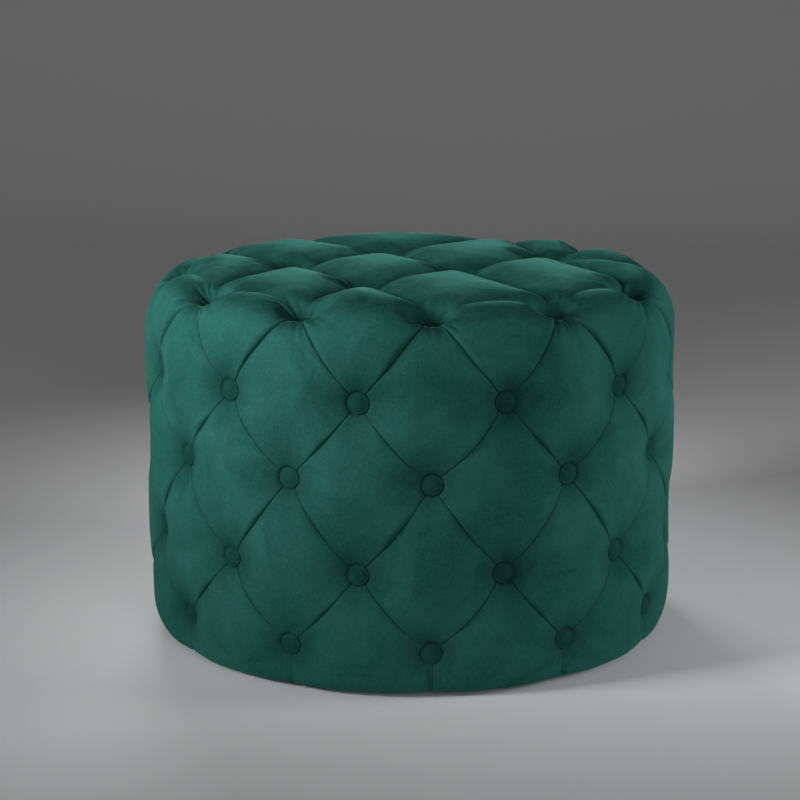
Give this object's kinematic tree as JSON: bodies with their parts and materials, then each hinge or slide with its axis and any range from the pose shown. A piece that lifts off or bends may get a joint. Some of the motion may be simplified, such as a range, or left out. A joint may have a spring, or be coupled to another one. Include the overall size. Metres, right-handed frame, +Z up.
{
  "type": "deep-buttoned drum stool",
  "caption": "Low round upholstered stool: a plywood drum under foam and a diamond-tufted velvet cover, with covered buttons tied through it and nail-on glides.",
  "frame": {"origin": "on the floor, under the centre of the drum", "axes": "+Z up along the drum's axis, -Y towards the viewer of the picture"},
  "size_m": [0.5474, 0.5474, 0.387],
  "materials": {
    "velvet": "emerald green cut-pile velvet, soft sheen",
    "button_velvet": "the same velvet drawn tight over domed buttons",
    "foam": "cream polyurethane foam, matt",
    "plywood": "raw birch plywood",
    "zinc_steel": "bright zinc-plated",
    "black_plastic": "moulded black plastic",
    "dust_cloth": "black non-woven cloth"
  },
  "bodies": {
    "root": {"side_cover_left": "velvet", "side_cover_right": "velvet", "top_cover": "velvet", "side_buttons_row_1": "button_velvet", "side_buttons_row_2": "button_velvet", "side_buttons_row_3": "button_velvet", "side_buttons_row_4": "button_velvet", "rim_buttons": "button_velvet", "top_button_1": "button_velvet", "top_button_2": "button_velvet", "top_button_3": "button_velvet", "top_button_4": "button_velvet", "top_button_5": "button_velvet", "side_foam": "foam", "top_foam": "foam", "base_board": "plywood", "drum_wall": "plywood", "top_board": "plywood", "base_screw_1": "zinc_steel", "base_screw_2": "zinc_steel", "base_screw_3": "zinc_steel", "base_screw_4": "zinc_steel", "base_screw_5": "zinc_steel", "base_screw_6": "zinc_steel", "top_screw_1": "zinc_steel", "top_screw_2": "zinc_steel", "top_screw_3": "zinc_steel", "top_screw_4": "zinc_steel", "top_screw_5": "zinc_steel", "top_screw_6": "zinc_steel", "glide_1": "black_plastic", "glide_2": "black_plastic", "glide_3": "black_plastic", "glide_4": "black_plastic", "glide_5": "black_plastic", "glide_6": "black_plastic", "dust_cover": "dust_cloth"}
  },
  "joints": []
}
